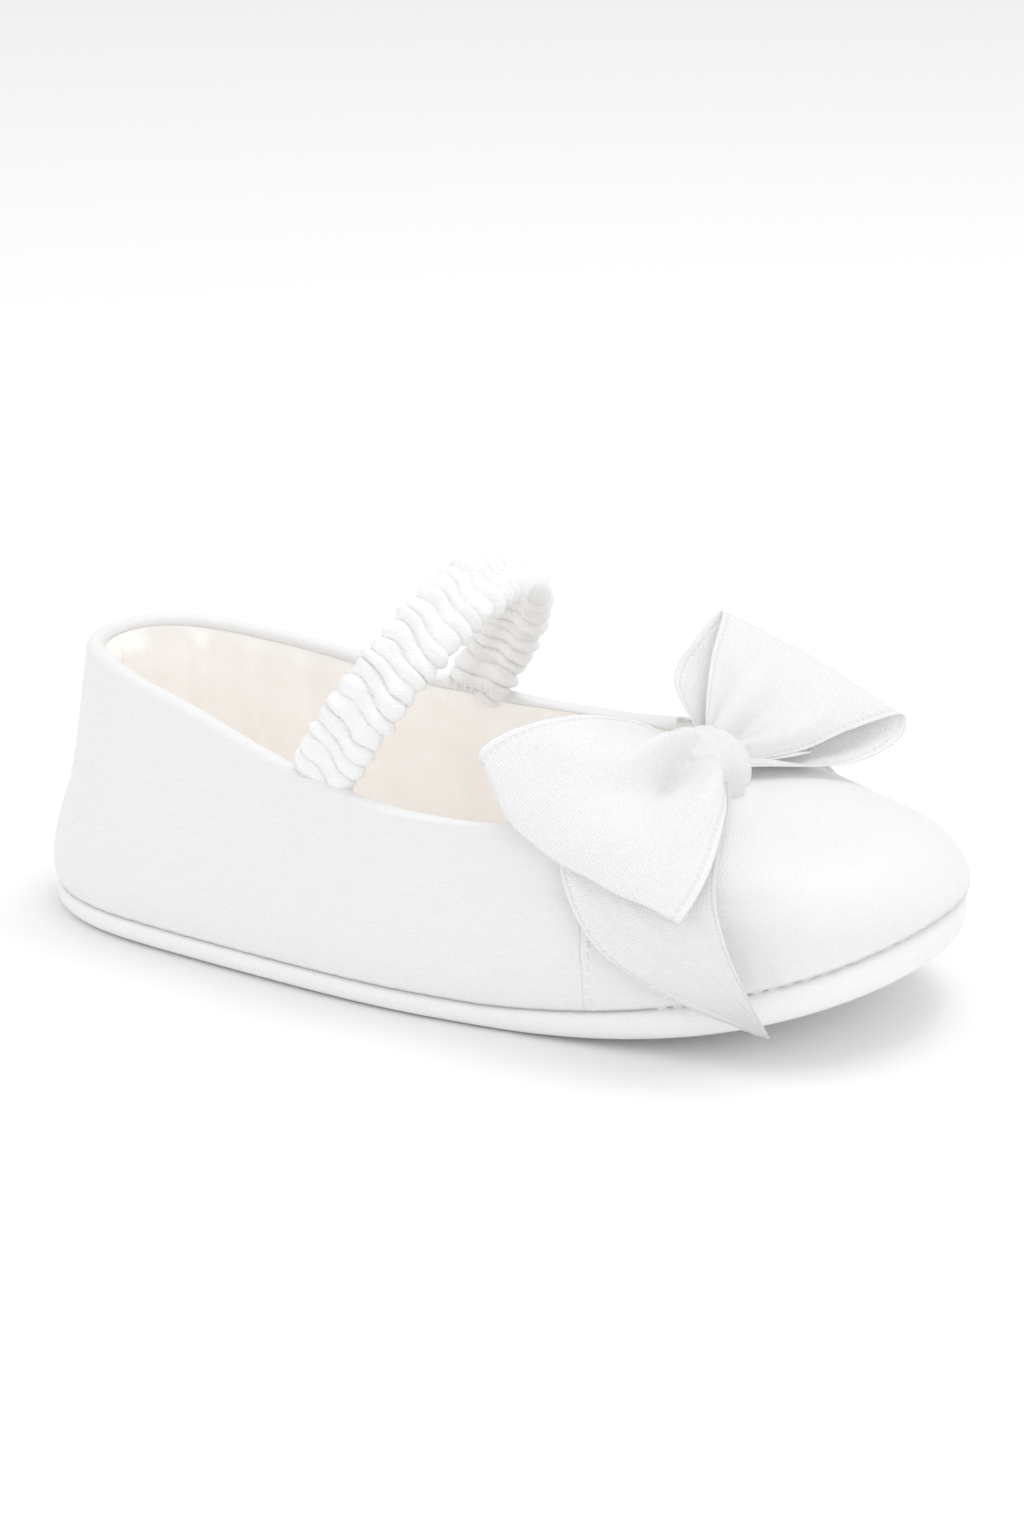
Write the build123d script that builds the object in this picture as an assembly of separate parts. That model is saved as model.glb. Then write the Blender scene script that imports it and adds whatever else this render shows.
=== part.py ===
from build123d import *
import os
from math import cos, hypot, pi, radians, sin, sqrt, tan

# Baby's satin ballet slipper, modelled for one foot.  Millimetres.
# +X toe, +Y the wearer's left, +Z up; the origin is under the middle of the sole, on the ground.

# ---- driving dimensions: last (the foot-shaped form)
CENTRE_X = -8.0        # station where the heel curve hands over to the toe curve
HEEL_X = -58.2         # back of the heel at the feather edge
HEEL_BULGE = 1.6       # fullness of the heel counter
HEEL_RAKE = 0.128      # forward lean of the counter, mm per mm of height
HALF_HEEL = 20.1       # half width through the heel
HALF_BALL = 25.4       # half width through the ball of the foot
SIDE_BULGE = 0.9       # fullness of the side walls
HEEL_POWER = 4.0       # roundness of the heel seen from above, higher is squarer
TOE_POWER = 4.6        # roundness of the toe low down
TOE_POWER_DROP = 1.6   # and how much rounder it is over the vamp
SPRING_RADIUS = 136.5  # the sole curls up under the toe on this radius
SPRING_START = 10.0    # station where the sole leaves the ground
TOE_END = 59.0         # tip of the sole
# crest of the vamp seen from the side, (height, station), from the blunt toe back over the dome
CREST = ((0, 59.9), (12, 60.0), (15, 59.6), (17.2, 58.5), (18.8, 57.0), (20.5, 54.3), (22.5, 49.0),
         (24.3, 41.5), (25.6, 34.5), (27, 26), (28.2, 20), (30, 18.8), (36, 18), (44, 18))
# top line seen from the side, (station, height), from behind the heel to the throat
TOP_LINE = ((-64, 33.4), (-53, 34.5), (-37, 32.0), (-20, 28.1), (-4, 25.2), (7, 24.8), (14, 25.6),
            (18.4, 27.0), (20.2, 28.4))

# ---- driving dimensions: layers and sole
SATIN = 0.6            # outer cover
INTERLINING = 1.0      # felt between cover and lining
LINING = 0.5           # inner sateen
WALL = SATIN + INTERLINING + LINING
SOLE_EDGE = 3.2        # height of the sole's side at the heel
SOLE_EDGE_TOE = 5.5    # and at the toe
SOLE_INSET = 1.2       # how far the sole's side stands in from the upper
SOLE_ROUND = 1.4       # radius of the sole's lower edge
BOARD = 1.0
FOAM = 1.4
SOCK = 0.5
SIDE_SEAM_FOOT = 24.5  # station of the vamp seam at the ground
SIDE_SEAM_SLOPE = 0.235  # how far the seam moves back per mm of height

# ---- driving dimensions: strap
STRAP_X = -11.4
STRAP_WIDTH = 8.0
STRAP_THICK = 2.6
STRAP_RISE = 22.4      # length of the arch above its ends, along its own lean
STRAP_LEAN = 30.5      # degrees forward of upright
ELASTIC_WIDTH = 6.0
ELASTIC_THICK = 1.0
PIVOT_ABOVE = 1.6      # thread bar above the top line
THREAD_BAR = 0.6       # radius of the bar tack that the strap turns on
RUNNING = 0.06         # radial clearance round that thread
END_FRONT = 42.0       # the strap's end is cut back so far from the top line, degrees
END_BACK = 56.0

# ---- driving dimensions: bow
KNOT = (28.5, 0.0, 30.4)
BOW_SLOPE = 23.0       # degrees that the bow tips forward with the vamp
KNOT_SIZE = (11.0, 9.5, 5.4)
RIBBON = 25.0
CLOTH = 0.5            # stands for one layer of ribbon
LOOP_LENGTH = 21.0
LOOP_PUFF = 6.4        # height of the loop's hollow, outside
LOOP_NECK = 7.0        # width where the loop enters the knot
LOOP_GAP = 0.35        # clearance between moving soft pieces
FAR_LOOP_LIFT = 15.0   # degrees above the knot's own plane
NEAR_LOOP_LIFT = 4.0
NEAR_LOOP_BACK = 12.0  # degrees that the near loop trails towards the heel
TAIL_OUT = 27.4        # the tails hang this far from the middle of the shoe
TAIL_TOP = 27.4        # where they leave the knot
TAIL_TURN = 18.6       # height where they hang free
STITCH = 0.35          # radius of a sewn stitch
STITCH_PITCH = 2.6
STITCH_LENGTH = 1.7
STITCHES_FROM = 36.0   # the toe seam's stitches show from this station forward
SEAM_TOP = 23.0        # top of the side seam's stitches

# ---- how the last is built
LEVEL_LOW = -10.0      # lowest and highest level sections that shape it, and their spacing
LEVEL_TOP = 38.0
LEVEL_STEP = 1.7
REFERENCE_LEVEL = 8    # the section whose spacing all the others share
BEHIND, AHEAD = -70.0, 70.0  # stations clear of the heel and of the toe
TALL = 60.0            # longer than anything it cuts


def blend(t):
    """0 to 1 with level ends."""
    t = min(max(t, 0.0), 1.0)
    return t * t * (3 - 2 * t)


def curve(points, t):
    """Smooth line through (t, value) points, with the slope at each from its neighbours."""
    t = min(max(t, points[0][0]), points[-1][0])
    i = max(k for k in range(len(points) - 1) if points[k][0] <= t)
    (t0, v0), (t1, v1) = points[i], points[i + 1]
    before, after = points[max(i - 1, 0)], points[min(i + 2, len(points) - 1)]
    m0 = (v1 - before[1]) / (t1 - before[0])
    m1 = (after[1] - v0) / (after[0] - t0)
    h = t1 - t0
    u = (t - t0) / h
    return ((1 + 2 * u) * (1 - u) ** 2 * v0 + u * (1 - u) ** 2 * h * m0
            + u * u * (3 - 2 * u) * v1 + u * u * (u - 1) * h * m1)


def spring(x):
    """Height of the sole's underside."""
    return SPRING_RADIUS - sqrt(SPRING_RADIUS ** 2 - max(x - SPRING_START, 0.0) ** 2)


def feather(x):
    """Height of the seam between upper and sole."""
    forward = min(max((x - SPRING_START) / (TOE_END - SPRING_START), 0.0), 1.0)
    return SOLE_EDGE + (SOLE_EDGE_TOE - SOLE_EDGE) * forward + spring(x)


def ends(z):
    """Stations of the heel and the toe at one height."""
    heel = HEEL_X - HEEL_BULGE * max(1 - ((z - 7) / 9) ** 2, 0.0) + HEEL_RAKE * max(z - 7, 0.0)
    return heel, curve(CREST, z)


def breadth(x, z):
    """Half width of the last before its ends are rounded off."""
    heel = HALF_HEEL + SIDE_BULGE * max(1 - ((z - 8) / 9) ** 2, -1) - 0.17 * max(z - 17, 0)
    ball = HALF_BALL + SIDE_BULGE * max(1 - ((z - 9) / 8) ** 2, -0.5)
    ball -= 0.08 * max(z - 17, 0) + 0.3 * max(z - 26, 0)
    return heel + (ball - heel) * blend((x + 42) / 46)


def toe_power(z):
    """Roundness of the toe at one height."""
    return TOE_POWER - TOE_POWER_DROP * blend((z - 16) / 10)


def half_width(x, z):
    """Half width of the last at one station and height."""
    heel, toe = ends(z)
    reach, power = (toe - CENTRE_X, toe_power(z)) if x > CENTRE_X else (CENTRE_X - heel, HEEL_POWER)
    return breadth(x, z) * sqrt(max(1 - abs((x - CENTRE_X) / reach) ** power, 0.0))


def side_line(z, steps=15):
    """One side of a level section, from the heel to the toe."""
    heel, toe = ends(z)
    line = []
    for k in range(-steps, steps + 1):
        turn = pi / 2 * (k / steps) ** 2
        if k < 0:
            x = CENTRE_X + (heel - CENTRE_X) * sin(turn) ** (2 / HEEL_POWER)
        else:
            x = CENTRE_X + (toe - CENTRE_X) * sin(turn) ** (2 / toe_power(z))
        line.append((x, breadth(x, z) * cos(turn)))
    return line


def level_points(z, inset):
    """A level section of the last, moved inwards by inset."""
    side = side_line(z + inset)
    loop = side + [(x, -y) for x, y in reversed(side[1:-1])]
    moved = []
    for k, (x, y) in enumerate(loop):
        (xa, ya), (xb, yb) = loop[k - 1], loop[(k + 1) % len(loop)]
        run = hypot(xb - xa, yb - ya)
        moved.append((x + inset * (yb - ya) / run, y - inset * (xb - xa) / run))
    return moved[::-1]


def level_edge(z, inset, height):
    """A level section as one closed spline.  Every section shares one set of knots."""
    reference = level_points(REFERENCE_LEVEL, 0)
    gone = [0.0]
    for (xa, ya), (xb, yb) in zip(reference, reference[1:] + reference[:1]):
        gone.append(gone[-1] + hypot(xb - xa, yb - ya))
    knots = [part / gone[-1] for part in gone]
    points = [Vector(x, y, height) for x, y in level_points(z, inset)]
    return Edge.make_spline(points, periodic=True, parameters=knots)


def last_solid(inset):
    """The space inside the upper, inset from its outer surface."""
    count = int((LEVEL_TOP - LEVEL_LOW) / LEVEL_STEP) + 1
    levels = [LEVEL_LOW + LEVEL_STEP * k for k in range(count)]
    sections = [Face(Wire([level_edge(z, inset, z)])) for z in levels]
    return loft(sections)


def side_cut(line):
    """A block from a line of (station, height) points, across the whole shoe."""
    outline = Polyline(*[(x, 0, z) for x, z in line], close=True)
    return extrude(make_face(outline), amount=TALL, both=True)


def above(floor_line, lift):
    """Everything above a curve along the shoe, raised by lift."""
    stations = [BEHIND + 4 * k for k in range(36)]
    low = Spline(*[(x, 0, floor_line(x) + lift) for x in stations])
    roof = Polyline(low @ 1, (AHEAD, 0, TALL), (BEHIND, 0, TALL), low @ 0)
    return extrude(make_face(low + roof), amount=TALL, both=True)


def below_top_line():
    """Everything under the top line, and all of the vamp."""
    edge = Spline(*[(x, 0, z) for x, z in TOP_LINE])
    front, back = TOP_LINE[-1][0], TOP_LINE[0][0]
    rest = Polyline(edge @ 1, (front, 0, TALL), (AHEAD, 0, TALL), (AHEAD, 0, -5), (back, 0, -5), edge @ 0)
    return extrude(make_face(edge + rest), amount=TALL, both=True)


def vamp_side():
    """Everything in front of the seam that joins vamp and quarters."""
    foot, head = SIDE_SEAM_FOOT, SIDE_SEAM_FOOT - SIDE_SEAM_SLOPE * TALL
    return side_cut([(foot, 0), (AHEAD, 0), (AHEAD, TALL), (head, TALL)])


def left_side():
    return Pos(0, TALL, 0) * Box(4 * TALL, 2 * TALL, 4 * TALL)


def upper_parts():
    """Cover, interlining and lining, each cut into a vamp and two quarters."""
    keep = above(feather, 0) & below_top_line()
    depths = (0, SATIN, SATIN + INTERLINING, WALL)
    forms = [last_solid(depth) for depth in depths]
    parts = {}
    for name, outer, inner in zip(("outer", "interlining", "lining"), forms, forms[1:]):
        layer = (outer - inner) & keep
        parts[f"vamp_{name}"] = layer & vamp_side()
        quarters = layer - vamp_side()
        parts[f"quarter_{name}_left"] = quarters & left_side()
        parts[f"quarter_{name}_right"] = quarters - left_side()
    return parts, forms[-1]


def above_ground(lift):
    """Everything above the sole's underside: flat, then an arc under the toe."""
    radius = SPRING_RADIUS - lift
    arc = [(SPRING_START + radius * sin(turn), 0, SPRING_RADIUS - radius * cos(turn)) for turn in (0, 0.25, 0.5)]
    flat = Line((BEHIND, 0, lift), arc[0])
    curl = ThreePointArc(*arc)
    roof = Polyline(arc[2], (arc[2][0], 0, TALL), (BEHIND, 0, TALL), (BEHIND, 0, lift))
    return extrude(make_face(flat + curl + roof), amount=TALL, both=True)


def sole_block(inset, lift):
    """The sole's outline, from lift above its underside up to the feather line."""
    outline = Face(Wire([level_edge(5 - inset, inset, 0)]))
    column = extrude(outline, amount=30)
    return (column & above_ground(lift)) - above(feather, 0)


def sole_parts(cavity):
    """Satin cover, pad and the three layers underfoot."""
    block = sole_block(SOLE_INSET, 0)
    low_edges = [edge for edge in block.edges() if edge.center().Z < spring(edge.center().X) + 0.3 * SOLE_EDGE]
    block = fillet(low_edges, SOLE_ROUND)
    pad = sole_block(SOLE_INSET + SATIN, SATIN)
    pad_edges = [edge for edge in pad.edges() if edge.center().Z < spring(edge.center().X) + 0.5 * SOLE_EDGE]
    pad = fillet(pad_edges, SOLE_ROUND - SATIN)
    parts = {"sole_cover": block - pad, "sole_pad": pad}
    lift = 0.0
    for name, thick in (("insole_board", BOARD), ("insole_foam", FOAM), ("insole_sock", SOCK)):
        parts[name] = (cavity & above(feather, lift)) - above(feather, lift + thick)
        lift += thick
    return parts


def arch(half_span, rise, width, thick):
    """Half-elliptic band that stands on the strap's two ends, centred on its own middle line."""
    outer = Ellipse(half_span + thick / 2, rise + thick / 2)
    inner = Ellipse(half_span - thick / 2, rise - thick / 2)
    ring = (outer - inner) & Pos(0, TALL) * Rectangle(4 * TALL, 2 * TALL)
    return extrude(Plane.YZ * ring, amount=width / 2, both=True)


def strap_pivot():
    """Height of the bar tacks, and how far they stand from the middle."""
    top = curve(TOP_LINE, STRAP_X)
    return top + PIVOT_ABOVE, half_width(STRAP_X, top) - WALL / 2


def strap_parts():
    """Ruched cover with its elastic, turning on the two bar tacks."""
    height, out = strap_pivot()
    body = arch(out, STRAP_RISE, STRAP_WIDTH, STRAP_THICK)
    body = fillet(body.edges().filter_by(Axis.Y, reverse=True).group_by(SortBy.LENGTH)[-1], 0.9)
    back_rise, front_rise = TALL * tan(radians(90 - END_BACK)), TALL * tan(radians(90 - END_FRONT))
    wedge = side_cut([(0, -THREAD_BAR * 2.2), (-TALL, back_rise), (-TALL, 2 * TALL), (TALL, 2 * TALL),
                      (TALL, front_rise)])
    bar_hole = Rot(90, 0, 0) * Cylinder(THREAD_BAR + RUNNING, 4 * TALL)
    elastic = arch(out, STRAP_RISE, ELASTIC_WIDTH, ELASTIC_THICK)
    place = Pos(STRAP_X, 0, height) * Rot(0, STRAP_LEAN, 0)
    cover = ((body - elastic) & wedge) - bar_hole
    band = (elastic & wedge) - bar_hole
    parts = {"strap_cover": place * cover, "strap_elastic": place * band}
    for name, side in (("left", 1), ("right", -1)):
        parts[f"strap_tack_{name}"] = bar_tack(height, side * out)
    return parts


def bar_tack(height, out):
    """A staple of thread: the bar through the strap's end, and its two legs down over the top line."""
    reach = STRAP_THICK / 2 + LOOP_GAP + THREAD_BAR
    bar = Pos(STRAP_X, out, height) * Rot(90, 0, 0) * Cylinder(THREAD_BAR, 2 * reach)
    leg_length = PIVOT_ABOVE + 2.0
    tack = bar
    for side in (-1, 1):
        tack += Pos(STRAP_X, out + side * reach, height - leg_length / 2) * Cylinder(THREAD_BAR, leg_length)
        tack += Pos(STRAP_X, out + side * reach, height) * Sphere(THREAD_BAR)
    return tack


def bow_plane():
    """Local axes of the bow: X down the slope of the vamp, Y across, Z off its surface."""
    return Pos(*KNOT) * Rot(0, BOW_SLOPE, 0)


def teardrop(length, puff, cloth):
    """Side view of a ribbon loop, from its neck out to its fold."""
    def ring(inset):
        tall, nose = puff / 2 - inset, length - inset
        neck = (KNOT_SIZE[1] / 2 + 2 * LOOP_GAP + inset, 0)
        upper = Spline(neck, (length * 0.55, tall * 0.92), (length * 0.8, tall), (nose, 0),
                       tangents=((1, 0.35), (0, -1)))
        lower = mirror(upper, Plane.XZ)
        return make_face(upper + lower)
    return ring(0) - ring(cloth)


def bow_loop(side):
    """One loop: a hollow folded ribbon, wide at its fold and gathered at the knot."""
    band = extrude(Plane.YZ * teardrop(LOOP_LENGTH + KNOT_SIZE[1] / 2, LOOP_PUFF, CLOTH), amount=RIBBON, both=True)
    near, far = KNOT_SIZE[1] / 2, LOOP_LENGTH + KNOT_SIZE[1] / 2 + 1
    fan = Polyline((-LOOP_NECK / 2, near), (LOOP_NECK / 2, near), (RIBBON / 2, far * 0.8), (RIBBON / 2, far),
                   (-RIBBON / 2, far), (-RIBBON / 2, far * 0.8), close=True)
    loop = band & extrude(make_face(fan), amount=TALL / 2, both=True)
    if side > 0:
        return bow_plane() * Rot(FAR_LOOP_LIFT, 0, 0) * loop
    return bow_plane() * Rot(-NEAR_LOOP_LIFT, 0, 0) * Rot(0, 0, 180 - NEAR_LOOP_BACK) * loop


def bow_tail(side):
    """One tail: it leaves under the loop, turns over the shoulder of the vamp and hangs at its side."""
    over = [(KNOT_SIZE[1] / 2 + LOOP_GAP, TAIL_TOP), (14, 26.7), (22.5, 23.4), (TAIL_OUT - 0.8, TAIL_TURN + 1.5),
            (TAIL_OUT, TAIL_TURN - 3), (TAIL_OUT, 4)]
    path = FilletPolyline(*[(0, side * y, z) for y, z in over], radius=2.2)
    section = Plane(origin=path @ 0, z_dir=path % 0, x_dir=(1, 0, 0)) * Rectangle(2 * TALL, CLOTH)
    strip = sweep(section, path)
    root = strip & side_cut([(20.5, 32), (20.5, TAIL_TURN), (41, TAIL_TURN), (38.5, 24), (34, 32)])
    low = TAIL_TURN - LOOP_GAP
    hanging = strip & side_cut([(20.5, low), (25.5, 13.2), (31, 9.2), (48.5, 5.8), (44.5, 13), (41, low)])
    return root, hanging


def bow_parts():
    """Knot, loops, tails and the thread that ties the knot to the vamp."""
    long, wide, thick = KNOT_SIZE
    knot = Box(long, wide, thick)
    knot = fillet(knot.edges(), thick * 0.42)
    thread = Pos(0, 0, -thick / 2) * Cylinder(THREAD_BAR, 7.0)
    hole = Cylinder(THREAD_BAR + RUNNING, 2 * thick)
    parts = {"bow_knot": bow_plane() * (knot - hole), "bow_tack_thread": bow_plane() * thread}
    for name, side in (("left", 1), ("right", -1)):
        parts[f"bow_loop_{name}"] = bow_loop(side)
        parts[f"bow_tail_root_{name}"], parts[f"bow_tail_{name}"] = bow_tail(side)
    return parts


def stitch_run(places):
    """Stitches along a line of points, each a short rod laid from point to point."""
    rods = []
    for start, end in places:
        a, b = Vector(*start), Vector(*end)
        rods.append(Plane(origin=(a + b) / 2, z_dir=b - a) * Cylinder(STITCH, STITCH_LENGTH))
    return Compound(children=rods)


def toe_stitches():
    """The run of stitches that closes the sole round the toe."""
    side = [(x, y) for x, y in side_line(12, 60) if x > STITCHES_FROM]
    loop = side + [(x, -y) for x, y in reversed(side[:-1])]
    places, gone, last = [], 0.0, -STITCH_PITCH
    for (xa, ya), (xb, yb) in zip(loop, loop[1:]):
        run = hypot(xb - xa, yb - ya)
        gone += run
        if gone - last >= STITCH_PITCH:
            x, y = xa + (xb - xa) / run, ya + (yb - ya) / run
            places.append(((xa, ya, feather(xa)), (x, y, feather(x))))
            last = gone
    return stitch_run(places)


def seam_stitches(side):
    """Top stitching beside the vamp seam, up the wall of the shoe."""
    places = []
    z = feather(SIDE_SEAM_FOOT) + 1.5
    while z < SEAM_TOP:
        x = SIDE_SEAM_FOOT - SIDE_SEAM_SLOPE * z + 1.1
        low = (x, side * half_width(x, z), z)
        high = (x - SIDE_SEAM_SLOPE, side * half_width(x - SIDE_SEAM_SLOPE, z + 1), z + 1)
        places.append((low, high))
        z += STITCH_PITCH
    return stitch_run(places)


def main():
    os.makedirs("parts", exist_ok=True)
    parts, cavity = upper_parts()
    parts.update(sole_parts(cavity))
    parts.update(strap_parts())
    parts.update(bow_parts())
    parts["sole_seam_stitches"] = toe_stitches()
    parts["vamp_seam_stitches_left"] = seam_stitches(1)
    parts["vamp_seam_stitches_right"] = seam_stitches(-1)
    for name, shape in parts.items():
        export_step(shape, f"parts/{name}.step")


main()
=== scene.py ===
"""A baby's satin ballet slipper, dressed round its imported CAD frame.

Lengths below are millimetres until mesh() turns them into metres.  +X is the toe, +Y the far side.
"""
import math

import bmesh
import bpy
import numpy as np
from mathutils import Matrix, Vector


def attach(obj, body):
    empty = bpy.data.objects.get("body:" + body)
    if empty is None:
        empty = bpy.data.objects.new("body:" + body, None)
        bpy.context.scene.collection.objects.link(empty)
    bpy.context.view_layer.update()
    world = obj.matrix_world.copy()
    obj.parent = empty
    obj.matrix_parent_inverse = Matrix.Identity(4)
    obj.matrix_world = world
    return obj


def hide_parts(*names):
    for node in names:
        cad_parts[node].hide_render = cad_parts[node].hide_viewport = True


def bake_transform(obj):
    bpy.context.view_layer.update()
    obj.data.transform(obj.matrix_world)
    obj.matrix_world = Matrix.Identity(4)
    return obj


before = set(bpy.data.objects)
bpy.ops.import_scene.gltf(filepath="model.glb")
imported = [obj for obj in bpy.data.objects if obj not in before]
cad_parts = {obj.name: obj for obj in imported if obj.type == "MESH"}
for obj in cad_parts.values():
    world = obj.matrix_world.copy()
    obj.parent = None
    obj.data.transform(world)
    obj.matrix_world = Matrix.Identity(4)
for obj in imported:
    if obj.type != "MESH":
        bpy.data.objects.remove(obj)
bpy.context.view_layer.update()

MM = 0.001

# ---- the last: its driving dimensions
CENTRE_X = -8.0
HEEL_X, HEEL_BULGE, HEEL_RAKE = -58.2, 1.6, 0.128
HALF_HEEL, HALF_BALL, SIDE_BULGE = 20.1, 25.4, 0.9
SPRING_RADIUS, SPRING_START, TOE_END = 136.5, 10.0, 59.0
CREST = ((0, 59.9), (12, 60.0), (15, 59.6), (17.2, 58.5), (18.8, 57.0), (20.5, 54.3), (22.5, 49.0),
         (24.3, 41.5), (25.6, 34.5), (27, 26), (28.2, 20), (30, 18.8), (36, 18), (44, 18))
TOP_LINE = ((-64, 33.4), (-53, 34.5), (-37, 32.0), (-20, 28.1), (-4, 25.2), (7, 24.8), (14, 25.6),
            (18.4, 27.0), (20.2, 28.4))
WALL = 2.1
SOLE_EDGE, SOLE_EDGE_TOE = 3.2, 5.5
SEAM_FOOT, SEAM_SLOPE = 24.4, 0.06
FOOTBED = 2.9
STRAP_X, STRAP_LEAN, STRAP_RISE = -11.4, math.radians(30.5), 22.4
STRAP_LIFT = 1.6
STRAP_WIDTH = 8.6
STRAP_THICK = 3.7
STRAP_PUFFS = 35
RIBBON_WIDTH = 25.0
RIBBON_THICK = 0.16
PLEAT_SPACING = 2.7
KNOT = np.array((28.5, 0.0, 30.4))
BOW_SLOPE = math.radians(23.0)

# ---- how finely the cloth is meshed
SIDE_COLUMNS = 400
OUTER_ROWS, ROLL_ROWS, INNER_ROWS = 64, 12, 44


# ------------------------------------------------------------------ small tools

def blend01(t):
    t = np.clip(t, 0.0, 1.0)
    return t * t * (3 - 2 * t)


def curve(points, t):
    """Smooth line through (t, value) points, with the slope at each from its neighbours."""
    knots = np.array([p[0] for p in points], float)
    values = np.array([p[1] for p in points], float)
    t = np.clip(np.asarray(t, float), knots[0], knots[-1])
    i = np.clip(np.searchsorted(knots, t, side="right") - 1, 0, len(knots) - 2)
    before, after = np.maximum(i - 1, 0), np.minimum(i + 2, len(knots) - 1)
    step = knots[i + 1] - knots[i]
    m0 = (values[i + 1] - values[before]) / (knots[i + 1] - knots[before])
    m1 = (values[after] - values[i]) / (knots[after] - knots[i])
    u = (t - knots[i]) / step
    return ((1 + 2 * u) * (1 - u) ** 2 * values[i] + u * (1 - u) ** 2 * step * m0
            + u * u * (3 - 2 * u) * values[i + 1] + u * u * (u - 1) * step * m1)


def through(points, count):
    """Catmull-Rom line through 3-D points, resampled evenly along its length."""
    p = np.asarray(points, float)
    p = np.vstack([2 * p[0] - p[1], p, 2 * p[-1] - p[-2]])
    fine = []
    for k in range(1, len(p) - 2):
        u = np.linspace(0, 1, 24, endpoint=False)[:, None]
        a, b, c, d = p[k - 1], p[k], p[k + 1], p[k + 2]
        fine.append(0.5 * (2 * b + (c - a) * u + (2 * a - 5 * b + 4 * c - d) * u ** 2
                           + (3 * b - a - 3 * c + d) * u ** 3))
    fine = np.vstack(fine + [p[-2][None]])
    gone = np.r_[0, np.cumsum(np.linalg.norm(np.diff(fine, axis=0), axis=1))]
    want = np.linspace(0, gone[-1], count)
    return np.stack([np.interp(want, gone, fine[:, k]) for k in range(3)], -1)


def ripple(x, y, seed):
    """Slow, repeatable unevenness between about -1 and 1, from crossed waves."""
    total = 0.0
    for k in range(1, 6):
        a, b = math.sin(seed * 1.7 + k * 2.1), math.cos(seed * 2.3 + k * 1.3)
        total = total + np.sin(k * (a * x + b * y) * 0.9 + seed * k) / k
    return total / 1.9


def normals(grid, closed=False):
    """Unit normals of a grid of points, rows first."""
    along = np.gradient(grid, axis=0)
    if closed:
        across = (np.roll(grid, -1, axis=1) - np.roll(grid, 1, axis=1)) / 2
    else:
        across = np.gradient(grid, axis=1)
    n = np.cross(across, along)
    return n / np.maximum(np.linalg.norm(n, axis=-1, keepdims=True), 1e-9)


def mesh(name, grid, uv=None, closed=False, flip=False):
    """A grid of points as a smooth mesh object in metres.  UVs are in metres of cloth."""
    rows, cols = grid.shape[:2]
    spans = cols if closed else cols - 1
    index = np.arange(rows * cols).reshape(rows, cols)
    i, j = np.meshgrid(np.arange(rows - 1), np.arange(spans), indexing="ij")
    nxt = (j + 1) % cols
    quads = np.stack([index[i, j], index[i, nxt], index[i + 1, nxt], index[i + 1, j]], -1).reshape(-1, 4)
    if flip:
        quads = quads[:, ::-1]
    data = bpy.data.meshes.new(name)
    data.from_pydata((grid.reshape(-1, 3) * MM).tolist(), [], quads.tolist())
    if uv is not None:
        wide = np.concatenate([uv, uv[:, :1]], axis=1) if closed else uv
        if closed:
            wide[:, -1, 0] = 2 * wide[:, -2, 0] - wide[:, -3, 0]
        corner = np.stack([wide[i, j], wide[i, j + 1], wide[i + 1, j + 1], wide[i + 1, j]], 2)
        corner = corner.reshape(-1, 4, 2)
        if flip:
            corner = corner[:, ::-1]
        layer = data.uv_layers.new(name="UVMap")
        layer.data.foreach_set("uv", (corner * MM).astype(np.float32).ravel())
    data.validate()
    data.shade_smooth()
    obj = bpy.data.objects.new(name, data)
    bpy.context.scene.collection.objects.link(obj)
    return obj


def lengths(grid, axis):
    """Running length along one axis of a grid."""
    step = np.linalg.norm(np.diff(grid, axis=axis), axis=-1)
    start = np.zeros_like(np.take(step, [0], axis=axis))
    return np.concatenate([start, np.cumsum(step, axis=axis)], axis=axis)


def cut(source, name, *planes):
    """A copy of a mesh kept on one side of each plane: (point, normal) keeps what the normal points to."""
    obj = source.copy()
    obj.data = source.data.copy()
    obj.name = obj.data.name = name
    bpy.context.scene.collection.objects.link(obj)
    work = bmesh.new()
    work.from_mesh(obj.data)
    for point, normal in planes:
        bmesh.ops.bisect_plane(work, geom=work.verts[:] + work.edges[:] + work.faces[:], dist=1e-7,
                               plane_co=Vector(point) * MM, plane_no=Vector(normal), clear_inner=True)
    work.to_mesh(obj.data)
    work.free()
    return obj


def thicken(obj, thickness, offset=-1.0):
    """Gives cloth its thickness, in millimetres, inwards from the meshed face."""
    modifier = obj.modifiers.new("cloth", "SOLIDIFY")
    modifier.thickness, modifier.offset = thickness * MM, offset
    return obj


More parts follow.
